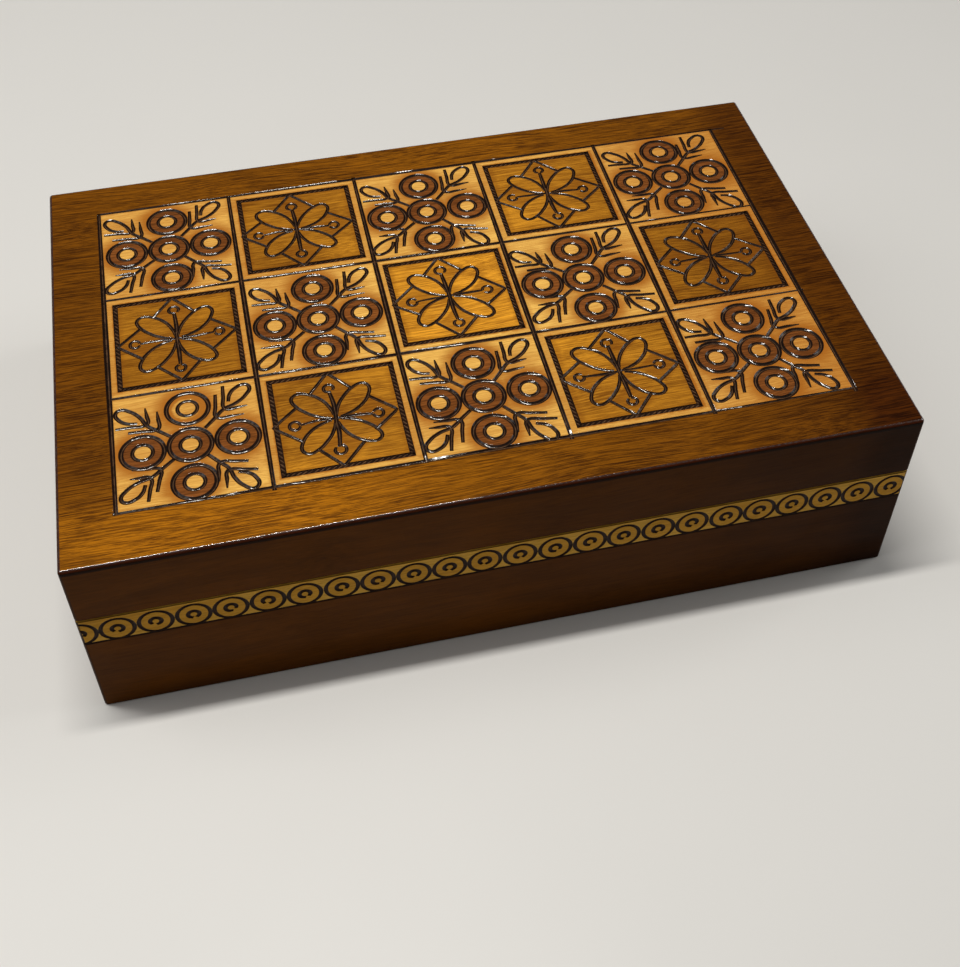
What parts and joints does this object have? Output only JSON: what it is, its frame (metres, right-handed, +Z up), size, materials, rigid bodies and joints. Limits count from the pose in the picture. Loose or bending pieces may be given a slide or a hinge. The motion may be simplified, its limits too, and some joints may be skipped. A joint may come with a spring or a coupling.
{
  "type": "wooden keepsake box",
  "caption": "Low rectangular wooden box with a carved, hinged lid for papers and keepsakes; rebated board corners and brass butt hinges along the back.",
  "frame": {"origin": "middle of the box's flat underside, below the middle of the wooden block", "axes": "+X along the long front face to the right, +Y from the front to the hinged back, +Z up"},
  "size_m": [0.26, 0.1707, 0.07],
  "materials": {
    "stained_wood": "brown stain under glossy clear lacquer",
    "carved_wood": "burnt carving, brown and amber stain under glossy clear lacquer",
    "plain_wood": "bare, fine-sanded",
    "hinge_brass": "plain rolled brass, a little dulled",
    "pin_brass": "drawn brass wire",
    "screw_brass": "slotted countersunk brass screws"
  },
  "bodies": {
    "base": {"base_front_board": "stained_wood", "base_back_board": "stained_wood", "base_left_board": "stained_wood", "base_right_board": "stained_wood", "bottom_panel": "plain_wood", "left_hinge_base_leaf": "hinge_brass", "right_hinge_base_leaf": "hinge_brass", "left_hinge_pin": "pin_brass", "right_hinge_pin": "pin_brass", "base_hinge_screws": "screw_brass"},
    "lid": {"lid_front_rail": "stained_wood", "lid_back_rail": "stained_wood", "lid_left_rail": "stained_wood", "lid_right_rail": "stained_wood", "lid_top_panel": "carved_wood", "left_hinge_lid_leaf": "hinge_brass", "right_hinge_lid_leaf": "hinge_brass", "lid_hinge_screws": "screw_brass"}
  },
  "joints": [
    {"name": "lid_hinge", "type": "hinge", "parent": "base", "child": "lid", "pos_m": [0, 0.084, 0.046], "axis": [-1, 0, 0], "range_deg": [0, 105]}
  ]
}
